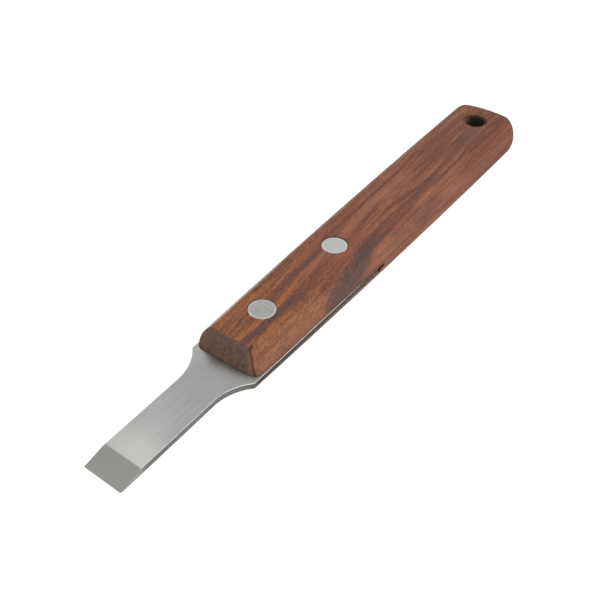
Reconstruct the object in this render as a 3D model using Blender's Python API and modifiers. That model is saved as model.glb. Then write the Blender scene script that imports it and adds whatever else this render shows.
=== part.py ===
# Straight hoof pick: a flat steel blade riveted into the sawn slot of a hardwood handle.
#
# Metres, +Z up. The pick lies on the flat underside of its handle, with its cutting edge towards -X, and the
# origin is under the middle of its whole length. "Station" is a distance back from the cutting edge, and
# "level" is a height above the blade's upper face, where the handle is widest.

import math

import bmesh
import bpy

# Whole tool
OVERALL_LENGTH = 0.2032
GAP = 0.0003  # left between pieces that touch

# Handle
HANDLE_FRONT = 0.0443  # station of the end face at the blade
HANDLE_FRONT_WIDTH = 0.0208
HANDLE_BUTT_WIDTH = 0.0269
HANDLE_SWELL = 0.00125  # extra width halfway along
HANDLE_RISE = 0.0075  # from the blade's upper face to the handle's flat top
HANDLE_DROP = 0.0095  # from the blade's upper face to the handle's flat underside
UPPER_SIDE_RADIUS = 0.0090  # bellied sides, above and below the blade
LOWER_SIDE_RADIUS = 0.0099
END_FACE_LEAN = 0.31  # the end face goes back this far for each unit of height
BUTT_CORNER_RADIUS = 0.0057
BUTT_SMALLEST_RADIUS = 0.0010  # of the butt's corners, where the sides are drawn in
BUTT_CROWN = 0.0033  # the butt's corners lie this far forward of its middle
CROWN_START = 0.1800  # station where the crown begins
HANDLE_EDGE_ROUND = 0.0007

# Blade and tang, one steel strip
STEEL_THICKNESS = 0.0020
TIP_WIDTH = 0.0121
NECK_WIDTH = 0.0125
NECK_END = 0.0323  # station where the shoulders begin to flare
SHOULDER_RADIUS = 0.0152
TANG_FRONT_WIDTH = 0.0217
TANG_REAR_WIDTH = 0.0238
TANG_END = 0.1028
TANG_CORNER_RADIUS = 0.0012
STEEL_EDGE_ROUND = 0.0003
GRIND_LENGTH = 0.0070  # chisel bevel on the upper face
GRIND_DEPTH = 0.0015
BACK_GRIND_LENGTH = 0.0012  # small bevel that relieves the underside

# Saw kerf that takes the tang
KERF_END = 0.1051

# Two-part cutlery rivets
RIVET_STATIONS = {"front": 0.0604, "rear": 0.0954}
RIVET_HEAD_RADIUS = 0.00397
RIVET_HEAD_THICKNESS = 0.0012
RIVET_HEAD_CHAMFER = 0.00015
RIVET_TUBE_RADIUS = 0.0025
RIVET_PIN_RADIUS = 0.00145
RIVET_PIN_CHAMFER = 0.0003
RIVET_STEPS = 40

# Hanging hole
HOLE_STATION = 0.1884
HOLE_RADIUS = 0.0037
HOLE_RIM_RADIUS = 0.0045
HOLE_STEPS = 40

# Facets
SIDE_RINGS = 5  # rings of the bellied side, above and below the blade
SIDE_STEPS = 9
CORNER_STEPS = 7
BUTT_STEPS = 2
SHOULDER_STEPS = 12

# Heights above the resting surface
BLADE_TOP = HANDLE_DROP
BLADE_UNDERSIDE = BLADE_TOP - STEEL_THICKNESS
HANDLE_TOP = BLADE_TOP + HANDLE_RISE
CUT_MARGIN = 0.002  # how far a cutter runs past the face that it cuts


def clear_scene():
    for scene_object in list(bpy.data.objects):
        bpy.data.objects.remove(scene_object, do_unlink=True)


def make_collection(name):
    collection = bpy.data.collections.new(name)
    bpy.context.scene.collection.children.link(collection)
    return collection


def place(station):
    """The X position of a station."""
    return station - OVERALL_LENGTH / 2.0


def make_material(name, color, roughness, metallic):
    material = bpy.data.materials.new(name)
    material.use_nodes = True
    shader = material.node_tree.nodes["Principled BSDF"]
    shader.inputs["Base Color"].default_value = (*color, 1.0)
    shader.inputs["Roughness"].default_value = roughness
    shader.inputs["Metallic"].default_value = metallic
    return material


def add_object(name, mesh, collection, material=None):
    new_object = bpy.data.objects.new(name, mesh)
    collection.objects.link(new_object)
    if material:
        mesh.materials.append(material)
    return new_object


def add_cutter(name, mesh, collection):
    cutter = add_object(name, mesh, collection)
    cutter.hide_render = True
    cutter.display_type = "WIRE"
    return cutter


def cut(target, cutter):
    boolean = target.modifiers.new(cutter.name, "BOOLEAN")
    boolean.operation = "DIFFERENCE"
    boolean.solver = "EXACT"
    boolean.object = cutter


def round_edges(target, width, angle_degrees, segments):
    bevel = target.modifiers.new("rounded edges", "BEVEL")
    bevel.width = width
    bevel.segments = segments
    bevel.limit_method = "ANGLE"
    bevel.angle_limit = math.radians(angle_degrees)


def shade_smooth(target, angle_degrees):
    target.data.shade_smooth()
    target.data.set_sharp_from_angle(angle=math.radians(angle_degrees))


def box_mesh(name, low, high):
    mesh = bpy.data.meshes.new(name)
    shape = bmesh.new()
    bmesh.ops.create_cube(shape, size=1.0)
    for vertex in shape.verts:
        for axis in range(3):
            vertex.co[axis] = high[axis] if vertex.co[axis] > 0.0 else low[axis]
    shape.to_mesh(mesh)
    shape.free()
    return mesh


def cylinder_mesh(name, radius, low, high, steps):
    return cone_mesh(name, radius, radius, low, high, steps)


def cone_mesh(name, low_radius, high_radius, low, high, steps):
    mesh = bpy.data.meshes.new(name)
    shape = bmesh.new()
    bmesh.ops.create_cone(
        shape, cap_ends=True, segments=steps, radius1=low_radius, radius2=high_radius, depth=high - low
    )
    bmesh.ops.translate(shape, verts=shape.verts, vec=(0.0, 0.0, (low + high) / 2.0))
    shape.to_mesh(mesh)
    shape.free()
    return mesh


def handle_half_width(station):
    along = (station - HANDLE_FRONT) / (OVERALL_LENGTH - HANDLE_FRONT)
    straight = HANDLE_FRONT_WIDTH + (HANDLE_BUTT_WIDTH - HANDLE_FRONT_WIDTH) * along
    return (straight + HANDLE_SWELL * 4.0 * along * (1.0 - along)) / 2.0


def handle_half_outline(inset, front):
    """One side of the handle's plan at a level, from the end face to the middle of the butt."""
    radius = max(BUTT_CORNER_RADIUS - inset, BUTT_SMALLEST_RADIUS)
    corner_station = OVERALL_LENGTH - inset - radius
    corner_offset = handle_half_width(corner_station) - inset - radius
    points = []
    for step in range(SIDE_STEPS):
        station = front + (corner_station - front) * step / SIDE_STEPS
        points.append((station, handle_half_width(station) - inset))
    for step in range(CORNER_STEPS + 1):
        angle = math.pi / 2.0 * (1.0 - step / CORNER_STEPS)
        points.append((corner_station + radius * math.cos(angle), corner_offset + radius * math.sin(angle)))
    for step in range(1, BUTT_STEPS + 1):
        points.append((OVERALL_LENGTH - inset, corner_offset * (1.0 - step / BUTT_STEPS)))
    return points


def crowned(station, offset):
    """The station with the butt's corners moved forward, so that the butt is crowned across its width."""
    reach = max(0.0, (station - CROWN_START) / (OVERALL_LENGTH - CROWN_START))
    across = offset / handle_half_width(station)
    return station - BUTT_CROWN * reach * across**2


def handle_ring(shape, level, side_radius):
    inset = side_radius - math.sqrt(side_radius**2 - level**2)
    half = handle_half_outline(inset, HANDLE_FRONT + END_FACE_LEAN * abs(level))
    mirrored = [(station, -offset) for station, offset in reversed(half[:-1])]
    ring = []
    for station, offset in half + mirrored:
        ring.append(shape.verts.new((place(crowned(station, offset)), offset, BLADE_TOP + level)))
    return ring


def handle_levels():
    """Levels of the rings and the side radius at each, from the underside to the top."""
    rings = []
    lower_angle = math.asin(HANDLE_DROP / LOWER_SIDE_RADIUS)
    upper_angle = math.asin(HANDLE_RISE / UPPER_SIDE_RADIUS)
    for step in range(SIDE_RINGS, 0, -1):
        rings.append((-LOWER_SIDE_RADIUS * math.sin(lower_angle * step / SIDE_RINGS), LOWER_SIDE_RADIUS))
    for step in range(SIDE_RINGS + 1):
        rings.append((UPPER_SIDE_RADIUS * math.sin(upper_angle * step / SIDE_RINGS), UPPER_SIDE_RADIUS))
    return rings


def handle_mesh():
    """A loft of plan outlines: widest at the blade, drawn in towards a flat top and a flat underside."""
    mesh = bpy.data.meshes.new("handle")
    shape = bmesh.new()
    rings = [handle_ring(shape, level, radius) for level, radius in handle_levels()]
    for lower, upper in zip(rings, rings[1:]):
        count = len(lower)
        for index in range(count):
            following = (index + 1) % count
            shape.faces.new((lower[index], upper[index], upper[following], lower[following]))
    shape.faces.new(rings[0])
    shape.faces.new(list(reversed(rings[-1])))
    bmesh.ops.recalc_face_normals(shape, faces=shape.faces)
    shape.to_mesh(mesh)
    shape.free()
    return mesh


def make_handle(collection, cutters, material):
    handle = add_object("handle", handle_mesh(), collection, material)
    round_edges(handle, HANDLE_EDGE_ROUND, 28.0, 2)

    half_width = handle_half_width(KERF_END) + CUT_MARGIN
    kerf = box_mesh(
        "kerf_cutter",
        (place(HANDLE_FRONT - CUT_MARGIN), -half_width, BLADE_UNDERSIDE - GAP),
        (place(KERF_END), half_width, BLADE_TOP + GAP),
    )
    cut(handle, add_cutter("kerf_cutter", kerf, cutters))

    seat = RIVET_HEAD_THICKNESS + GAP
    for label, station in RIVET_STATIONS.items():
        bores = (
            ("shank", RIVET_TUBE_RADIUS, -CUT_MARGIN, HANDLE_TOP + CUT_MARGIN),
            ("upper_seat", RIVET_HEAD_RADIUS, HANDLE_TOP - seat, HANDLE_TOP + CUT_MARGIN),
            ("lower_seat", RIVET_HEAD_RADIUS, -CUT_MARGIN, seat),
        )
        for bore, radius, low, high in bores:
            name = f"{label}_{bore}_cutter"
            cutter = add_cutter(name, cylinder_mesh(name, radius + GAP, low, high, RIVET_STEPS), cutters)
            cutter.location.x = place(station)
            cut(handle, cutter)

    # The hanging hole is drilled through, and its rims are broken with a 45 degree countersink.
    rim = HOLE_RIM_RADIUS - HOLE_RADIUS
    over = HOLE_RIM_RADIUS + CUT_MARGIN
    hole_cuts = (
        ("hole_cutter", HOLE_RADIUS, HOLE_RADIUS, -CUT_MARGIN, HANDLE_TOP + CUT_MARGIN),
        ("upper_rim_cutter", HOLE_RADIUS, over, HANDLE_TOP - rim, HANDLE_TOP + CUT_MARGIN),
        ("lower_rim_cutter", over, HOLE_RADIUS, -CUT_MARGIN, rim),
    )
    for name, low_radius, high_radius, low, high in hole_cuts:
        mesh = cone_mesh(name, low_radius, high_radius, low, high, HOLE_STEPS)
        cutter = add_cutter(name, mesh, cutters)
        cutter.location.x = place(HOLE_STATION)
        cut(handle, cutter)
    shade_smooth(handle, 30.0)


def blade_half_outline():
    """One side of the strip's plan, from the cutting edge to the end of the tang."""
    rise = (TANG_FRONT_WIDTH - NECK_WIDTH) / 2.0
    flare_angle = math.acos(1.0 - rise / SHOULDER_RADIUS)
    points = [(0.0, TIP_WIDTH / 2.0)]
    for step in range(SHOULDER_STEPS + 1):
        angle = flare_angle * step / SHOULDER_STEPS
        station = NECK_END + SHOULDER_RADIUS * math.sin(angle)
        points.append((station, NECK_WIDTH / 2.0 + SHOULDER_RADIUS * (1.0 - math.cos(angle))))
    corner_station = TANG_END - TANG_CORNER_RADIUS
    corner_offset = TANG_REAR_WIDTH / 2.0 - TANG_CORNER_RADIUS
    for step in range(CORNER_STEPS + 1):
        angle = math.pi / 2.0 * (1.0 - step / CORNER_STEPS)
        points.append(
            (
                corner_station + TANG_CORNER_RADIUS * math.cos(angle),
                corner_offset + TANG_CORNER_RADIUS * math.sin(angle),
            )
        )
    return points


def strip_mesh(name, half_outline, thickness, middle_height):
    """A flat outline, mirrored across the middle plane and given its thickness."""
    curve = bpy.data.curves.new(name, "CURVE")
    curve.dimensions = "2D"
    curve.fill_mode = "BOTH"
    curve.extrude = thickness / 2.0
    outline = half_outline + [(station, -offset) for station, offset in reversed(half_outline)]
    spline = curve.splines.new("POLY")
    spline.points.add(len(outline) - 1)
    for point, (station, offset) in zip(spline.points, outline):
        point.co = (place(station), offset, 0.0, 1.0)
    spline.use_cyclic_u = True

    guide = bpy.data.objects.new(name, curve)
    bpy.context.scene.collection.objects.link(guide)
    evaluated = guide.evaluated_get(bpy.context.evaluated_depsgraph_get())
    mesh = bpy.data.meshes.new_from_object(evaluated)
    bpy.data.objects.remove(guide, do_unlink=True)
    bpy.data.curves.remove(curve)

    shape = bmesh.new()
    shape.from_mesh(mesh)
    bmesh.ops.remove_doubles(shape, verts=shape.verts, dist=0.00001)
    bmesh.ops.dissolve_limit(shape, angle_limit=0.001, verts=shape.verts, edges=shape.edges)
    bmesh.ops.translate(shape, verts=shape.verts, vec=(0.0, 0.0, middle_height))
    bmesh.ops.recalc_face_normals(shape, faces=shape.faces)
    shape.to_mesh(mesh)
    shape.free()
    return mesh


def grind_mesh(name, length, outer, edge):
    """A wedge that takes off one face of the strip from the cutting edge back to a station.

    Outer is the height of the face, and edge is the height of the ground surface at the cutting edge.
    """
    slope = (outer - edge) / length
    reach = CUT_MARGIN
    profile = (
        (-reach, edge - slope * reach),
        (length + reach, outer + slope * reach),
        (length + reach, outer + math.copysign(reach * 2.0, slope)),
        (-reach, outer + math.copysign(reach * 2.0, slope)),
    )
    mesh = bpy.data.meshes.new(name)
    shape = bmesh.new()
    side = [shape.verts.new((place(station), -TIP_WIDTH, height)) for station, height in profile]
    face = shape.faces.new(side)
    extruded = bmesh.ops.extrude_face_region(shape, geom=[face])
    moved = [item for item in extruded["geom"] if isinstance(item, bmesh.types.BMVert)]
    bmesh.ops.translate(shape, verts=moved, vec=(0.0, 2.0 * TIP_WIDTH, 0.0))
    bmesh.ops.recalc_face_normals(shape, faces=shape.faces)
    shape.to_mesh(mesh)
    shape.free()
    return mesh


def make_blade(collection, cutters, material):
    middle_height = BLADE_TOP - STEEL_THICKNESS / 2.0
    mesh = strip_mesh("blade", blade_half_outline(), STEEL_THICKNESS, middle_height)
    blade = add_object("blade", mesh, collection, material)
    round_edges(blade, STEEL_EDGE_ROUND, 60.0, 1)

    edge_height = BLADE_TOP - GRIND_DEPTH
    upper = grind_mesh("upper_grind_cutter", GRIND_LENGTH, BLADE_TOP, edge_height)
    lower = grind_mesh("lower_grind_cutter", BACK_GRIND_LENGTH, BLADE_UNDERSIDE, edge_height)
    cut(blade, add_cutter("upper_grind_cutter", upper, cutters))
    cut(blade, add_cutter("lower_grind_cutter", lower, cutters))

    for label, station in RIVET_STATIONS.items():
        name = f"{label}_tang_hole_cutter"
        low = BLADE_UNDERSIDE - CUT_MARGIN
        high = BLADE_TOP + CUT_MARGIN
        mesh = cylinder_mesh(name, RIVET_TUBE_RADIUS + GAP, low, high, RIVET_STEPS)
        cutter = add_cutter(name, mesh, cutters)
        cutter.location.x = place(station)
        cut(blade, cutter)
    shade_smooth(blade, 30.0)


def turn(name, profile, station, collection, material):
    """Turns a profile of (radius, height) points about the rivet's axis."""
    mesh = bpy.data.meshes.new(name)
    shape = bmesh.new()
    vertices = [shape.verts.new((radius, 0.0, height)) for radius, height in profile]
    for start, end in zip(vertices, vertices[1:]):
        shape.edges.new((start, end))
    shape.to_mesh(mesh)
    shape.free()
    turned = add_object(name, mesh, collection, material)
    turned.location.x = place(station)
    screw = turned.modifiers.new("turned", "SCREW")
    screw.axis = "Z"
    screw.steps = RIVET_STEPS
    screw.render_steps = RIVET_STEPS
    screw.use_merge_vertices = True
    screw.merge_threshold = 0.00001
    screw.use_smooth_shade = False
    return turned


def make_rivet(label, station, collection, material):
    """The male half is a head with a solid pin. The female half is a head with a tube that takes the pin."""
    bore_radius = RIVET_PIN_RADIUS + GAP
    upper_seat = HANDLE_TOP - RIVET_HEAD_THICKNESS
    pin_end = RIVET_HEAD_THICKNESS + GAP
    male = (
        (0.0, HANDLE_TOP),
        (RIVET_HEAD_RADIUS - RIVET_HEAD_CHAMFER, HANDLE_TOP),
        (RIVET_HEAD_RADIUS, HANDLE_TOP - RIVET_HEAD_CHAMFER),
        (RIVET_HEAD_RADIUS, upper_seat),
        (RIVET_PIN_RADIUS, upper_seat),
        (RIVET_PIN_RADIUS, pin_end + RIVET_PIN_CHAMFER),
        (RIVET_PIN_RADIUS - RIVET_PIN_CHAMFER, pin_end),
        (0.0, pin_end),
    )
    female = (
        (0.0, RIVET_HEAD_THICKNESS),
        (bore_radius, RIVET_HEAD_THICKNESS),
        (bore_radius, upper_seat - GAP),
        (RIVET_TUBE_RADIUS, upper_seat - GAP),
        (RIVET_TUBE_RADIUS, RIVET_HEAD_THICKNESS),
        (RIVET_HEAD_RADIUS, RIVET_HEAD_THICKNESS),
        (RIVET_HEAD_RADIUS, RIVET_HEAD_CHAMFER),
        (RIVET_HEAD_RADIUS - RIVET_HEAD_CHAMFER, 0.0),
        (0.0, 0.0),
    )
    turn(f"{label}_rivet_male", male, station, collection, material)
    turn(f"{label}_rivet_female", female, station, collection, material)


def main():
    clear_scene()
    pick = make_collection("straight_hoof_pick")
    cutters = make_collection("cutters")
    wood = make_material("reddish hardwood", (0.25, 0.095, 0.05), 0.5, 0.0)
    steel = make_material("brushed steel", (0.45, 0.46, 0.45), 0.35, 1.0)
    rivet_metal = make_material("rivet metal", (0.6, 0.6, 0.6), 0.35, 1.0)
    make_blade(pick, cutters, steel)
    make_handle(pick, cutters, wood)
    for label, station in RIVET_STATIONS.items():
        make_rivet(label, station, pick, rivet_metal)


main()
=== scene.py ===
import math
from functools import partial

import bmesh
import bpy
from mathutils import Matrix, Vector


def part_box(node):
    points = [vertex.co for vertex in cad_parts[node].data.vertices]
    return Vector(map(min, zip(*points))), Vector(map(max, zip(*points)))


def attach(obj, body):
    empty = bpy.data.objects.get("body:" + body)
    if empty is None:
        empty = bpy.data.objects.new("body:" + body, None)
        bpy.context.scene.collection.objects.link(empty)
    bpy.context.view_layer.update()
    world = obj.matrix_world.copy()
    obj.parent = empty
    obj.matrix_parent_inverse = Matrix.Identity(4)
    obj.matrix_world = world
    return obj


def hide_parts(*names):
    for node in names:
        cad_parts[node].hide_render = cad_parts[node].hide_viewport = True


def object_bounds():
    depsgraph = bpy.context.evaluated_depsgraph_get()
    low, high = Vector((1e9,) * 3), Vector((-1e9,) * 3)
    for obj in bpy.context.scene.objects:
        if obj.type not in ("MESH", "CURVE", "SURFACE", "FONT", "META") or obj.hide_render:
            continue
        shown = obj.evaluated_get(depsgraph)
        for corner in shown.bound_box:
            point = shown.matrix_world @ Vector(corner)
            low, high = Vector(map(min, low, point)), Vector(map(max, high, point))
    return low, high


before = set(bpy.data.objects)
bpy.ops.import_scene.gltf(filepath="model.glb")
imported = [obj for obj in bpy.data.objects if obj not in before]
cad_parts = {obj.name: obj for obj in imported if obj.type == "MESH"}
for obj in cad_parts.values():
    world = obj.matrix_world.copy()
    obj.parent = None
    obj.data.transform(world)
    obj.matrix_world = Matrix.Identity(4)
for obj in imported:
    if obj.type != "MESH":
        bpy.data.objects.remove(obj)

# A straight hoof pick: brushed steel blade and tang, slotted rosewood handle, two flush cutlery rivets.
# Metres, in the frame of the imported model: tip towards -X, the handle lying on z = 0.

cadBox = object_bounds()
scene = bpy.context.scene
tipX, buttX = cadBox[0].x, cadBox[1].x
bladeLow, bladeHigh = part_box("blade")
handleLow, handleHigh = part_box("handle")
bladeTop, bladeUnder = bladeHigh.z, bladeLow.z
print("frame loaded:", sorted(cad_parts))


def newObject(name, data):
    piece = bpy.data.objects.new(name, data)
    scene.collection.objects.link(piece)
    return piece


def finishedMesh(piece):
    # the evaluated shape as a plain mesh, with no modifier left
    evaluated = piece.evaluated_get(bpy.context.evaluated_depsgraph_get())
    mesh = bpy.data.meshes.new_from_object(evaluated)
    piece.modifiers.clear()
    piece.data = mesh
    return piece


def fromBmesh(name, shape):
    mesh = bpy.data.meshes.new(name)
    shape.to_mesh(mesh)
    shape.free()
    return newObject(name, mesh)


def feed(tree, socket, value):
    if isinstance(value, bpy.types.Node):
        value = value.outputs[0]
    if isinstance(value, bpy.types.NodeSocket):
        tree.links.new(value, socket)
    else:
        socket.default_value = value


def addNode(tree, kind, inputs=None, **settings):
    made = tree.nodes.new(kind)
    for key, value in settings.items():
        setattr(made, key, value)
    for key, value in (inputs or {}).items():
        feed(tree, made.inputs[key], value)
    return made


def xyz(tree, x=0.0, y=0.0, z=0.0):
    return addNode(tree, "ShaderNodeCombineXYZ", {0: x, 1: y, 2: z})


def calc(tree, operation, *values, clamp=False):
    made = tree.nodes.new("ShaderNodeMath")
    made.operation = operation
    made.use_clamp = clamp
    for socket, value in zip(made.inputs, values):
        feed(tree, socket, value)
    return made.outputs[0]


def product(tree, *values):
    # the values multiplied together, from left to right
    result = values[0]
    for value in values[1:]:
        result = calc(tree, "MULTIPLY", result, value)
    return result


def remap(tree, value, low, high, newLow=0.0, newHigh=1.0):
    # smooth step from low to high
    made = addNode(tree, "ShaderNodeMapRange", interpolation_type="SMOOTHSTEP")
    for key, item in (("Value", value), ("From Min", low), ("From Max", high),
                      ("To Min", newLow), ("To Max", newHigh)):
        feed(tree, made.inputs[key], item)
    return made.outputs[0]


def addSockets(tree, sockets, way="INPUT"):
    for kind, names in sockets.items():
        for name in names:
            tree.interface.new_socket(name, in_out=way, socket_type="NodeSocket" + kind)


def runTree(piece, tree, values):
    modifier = piece.modifiers.new(tree.name, "NODES")
    modifier.node_group = tree
    for item in tree.interface.items_tree:
        if item.item_type == "SOCKET" and item.in_out == "INPUT" and item.name in values:
            modifier[item.identifier] = values[item.name]
    return finishedMesh(piece)


def wrapGrid(tree, outline, columns=None, rows=None):
    # a flat grid to wrap, the column and row of its points, and how many points the outline has
    count = addNode(tree, "GeometryNodeAttributeDomainSize", {"Geometry": outline}).outputs["Point Count"]
    columns, rows = columns or count, rows or count
    grid = addNode(tree, "GeometryNodeMeshGrid", {
        "Size X": 1.0, "Size Y": 1.0, "Vertices X": calc(tree, "ADD", columns, 1), "Vertices Y": rows})
    index = addNode(tree, "GeometryNodeInputIndex")
    column = calc(tree, "FLOOR", calc(tree, "DIVIDE", index, rows))
    row = calc(tree, "SUBTRACT", index, product(tree, column, rows))
    return grid.outputs["Mesh"], column, row, count


def outlineValue(tree, outline, kind, value, index):
    node = addNode(tree, "GeometryNodeSampleIndex", {"Geometry": outline, "Index": index},
                   data_type=kind, domain="POINT")
    feed(tree, node.inputs["Value"], value)
    return node.outputs[0]


def finishTree(tree, shape, material, name):
    whole = addNode(tree, "GeometryNodeRealizeInstances", {"Geometry": shape})
    coloured = addNode(tree, "GeometryNodeSetMaterial", {"Geometry": whole, "Material": material})
    addNode(tree, "NodeGroupOutput", {name: coloured})
    return tree


def turned(name, profile, steps, x):
    # turns (radius, height) points about an upright axis at x; the profile starts and ends on the axis
    shape = bmesh.new()
    line = [shape.verts.new((r, 0, z)) for r, z in profile]
    edges = [shape.edges.new(pair) for pair in zip(line, line[1:])]
    bmesh.ops.spin(shape, geom=line + edges, cent=(0, 0, 0), axis=(0, 0, 1), angle=2 * math.pi, steps=steps,
                   use_merge=True)
    bmesh.ops.remove_doubles(shape, verts=shape.verts, dist=0.000002)
    bmesh.ops.recalc_face_normals(shape, faces=shape.faces)
    piece = fromBmesh(name, shape)
    piece.data.transform(Matrix.Translation((x, 0, 0)))
    return piece


def boxPiece(name, low, high):
    shape = bmesh.new()
    bmesh.ops.create_cube(shape, size=1)
    for vertex in shape.verts:
        for axis in range(3):
            vertex.co[axis] = high[axis] if vertex.co[axis] > 0 else low[axis]
    return fromBmesh(name, shape)


def setMaterials(piece, *materials):
    piece.data.materials.clear()
    for material in materials:
        piece.data.materials.append(material)
    piece.data.polygons.foreach_set("material_index", [0] * len(piece.data.polygons))


def smooth(piece, sharpAngle):
    piece.data.shade_smooth()
    piece.data.set_sharp_from_angle(angle=math.radians(sharpAngle))


def closeFlats(piece, low, high):
    # the two flats close the loft
    shape = bmesh.new()
    shape.from_mesh(piece.data)
    rim = [e for e in shape.edges if e.is_boundary]
    for vertex in {v for e in rim for v in e.verts}:
        vertex.co.z = high if vertex.co.z > (low + high) / 2 else low
    bmesh.ops.holes_fill(shape, edges=rim, sides=0)
    bmesh.ops.recalc_face_normals(shape, faces=shape.faces)
    shape.to_mesh(piece.data)
    shape.free()


def cutAway(piece, cutters):
    for cutter in cutters:
        boolean = piece.modifiers.new("cut", "BOOLEAN")
        boolean.object = cutter
        boolean.solver = "EXACT"
        cutter.hide_render = True
    finishedMesh(piece)
    for cutter in cutters:
        bpy.data.objects.remove(cutter)
    return piece


handle = {
    "frontStation": 0.0443,   # the end face, back from the cutting edge
    "frontWidth": 0.0208, "buttWidth": 0.0269, "swell": 0.00125,
    "upperBelly": 0.0090, "lowerBelly": 0.0099,     # radii of the bellied sides
    "lean": 0.31,             # the end face goes back this much for each unit of height
    "frontRound": 0.0008,     # how softly the end face turns into the top
    # corners of the end face at the blade, as (in from the side, back from the face); sharper towards the top
    "soundCorner": [(0.0016, 0.0), (0.0011, 0.00012), (0.0006, 0.0004), (0.0002, 0.0009), (0.0, 0.0015)],
    "wornCorner": [(0.0030, 0.0), (0.0024, 0.00012), (0.0017, 0.0004), (0.0010, 0.00078), (0.00045, 0.0013),
                   (0.00015, 0.0018), (0.0, 0.0023)],
    "cornerFade": 0.93,
    "buttCorner": 0.0057, "tightestCorner": 0.0010,
    "crown": 0.0033, "crownRun": 0.0232,            # the butt is bowed across its width
    "blendRun": 0.012,        # the lean of the front and the draw of the butt fade out over this much side
    "upperCrease": 0.0005, "lowerCrease": 0.0003,   # softness of the line between side and flat
    "sweep": 82,              # degrees of belly that are lofted before the flat closes it
    "levels": 64, "sideSteps": 96, "cornerSteps": 12, "endSteps": 22, "sharpAngle": 32,
    "waviness": 0.00007,      # left by hand sanding
}
upperRivets = ("front_rivet_male", "rear_rivet_male")
lowerRivets = ("front_rivet_female", "rear_rivet_female")
headLow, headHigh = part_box(upperRivets[0])
rivets = {
    "headRadius": (headHigh.y - headLow.y) / 2, "headThickness": 0.0012,
    "edge": 0.00009, "edgeSteps": 5, "dome": 0.00006, "domeSteps": 9,
    "tubeRadius": 0.0025, "pinRadius": 0.00145, "pinChamfer": 0.0003,
    "pinGap": 0.0003, "tubeGap": 0.0002,            # past the ends of pin and tube
    "slack": 0.00004, "rearSink": 0.00015, "rearGap": 0.00025, "steps": 96, "sharpAngle": 35,
}
hole = {"station": 0.1884, "radius": 0.0036, "steps": 96,
        "rim": 0.0007, "rimDepth": 0.0004, "rimEdge": 0.00025}
kerf = {"end": 0.1051, "slack": 0.00005, "runOutDepth": 0.0010, "behindTang": 0.0006}
past = 0.001                  # cutters go this far past what they cut
aside = 0.02                  # and this far to each side


def centreX(node):
    low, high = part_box(node)
    return (low.x + high.x) / 2


frontX = tipX + handle["frontStation"]


def halfWidthAt(x):
    run = buttX - frontX
    taper = (handle["buttWidth"] - handle["frontWidth"]) * (x - frontX) / run
    swell = handle["swell"] * 4 * (x - frontX) * (buttX - x) / run ** 2
    return (handle["frontWidth"] + taper + swell) / 2


def halfPlan(front):
    # one side of the plan, from the middle of the front to the middle of the butt; each point has its place
    # on the core, its outward direction, and how far a front corner goes back there
    butt, endSteps = handle["buttCorner"], handle["endSteps"]
    coreEnd = buttX - butt
    coreFront = halfWidthAt(frontX) - butt
    half = []
    for i in range(endSteps):
        share = (1 - front[0][0] / halfWidthAt(frontX)) * i / endSteps
        half.append((frontX, share * coreFront, 0, share, 0))
    for inwards, back in front:
        share = 1 - inwards / halfWidthAt(frontX)
        half.append((frontX, share * coreFront, 0, share, back))
    sideStart = frontX + front[-1][1]
    for i in range(1, handle["sideSteps"]):
        x = sideStart + (coreEnd - sideStart) * i / handle["sideSteps"]
        half.append((x, halfWidthAt(x) - butt, 0, 1, 0))
    coreHalf = halfWidthAt(coreEnd) - butt
    for i in range(handle["cornerSteps"] + 1):
        a = math.pi / 2 * (1 - i / handle["cornerSteps"])
        half.append((coreEnd, coreHalf, math.cos(a), math.sin(a), 0))
    for i in range(1, endSteps + 1):
        half.append((coreEnd, coreHalf * (1 - i / endSteps), 1, 0, 0))
    return half


def handlePlan():
    worn = halfPlan(handle["wornCorner"])[1:-1]
    mirrored = [(x, -y, outX, -outY, back) for x, y, outX, outY, back in reversed(worn)]
    return halfPlan(handle["soundCorner"]) + mirrored


def planPiece():
    # the plan as a ring of edges, with what the loft needs to know at each point
    shape = bmesh.new()
    plan = handlePlan()
    ring = [shape.verts.new((point[0], point[1], bladeTop)) for point in plan]
    for a, b in zip(ring, ring[1:] + ring[:1]):
        shape.edges.new((a, b))
    piece = fromBmesh("rosewoodHandle", shape)
    coreEnd = buttX - handle["buttCorner"]
    run = handle["blendRun"]
    shares = {
        "outX": [point[2] for point in plan],
        "outY": [point[3] for point in plan],
        "cornerBack": [point[4] for point in plan],
        "coreHalf": [halfWidthAt(point[0]) - handle["buttCorner"] for point in plan],
        "frontShare": [max(0.0, 1 - (point[0] - frontX) / run) for point in plan],
        "buttShare": [max(0.0, 1 - (coreEnd - point[0]) / run) for point in plan],
    }
    for name, values in shares.items():
        piece.data.attributes.new(name, "FLOAT", "POINT").data.foreach_set("value", values)
    return piece


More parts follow.
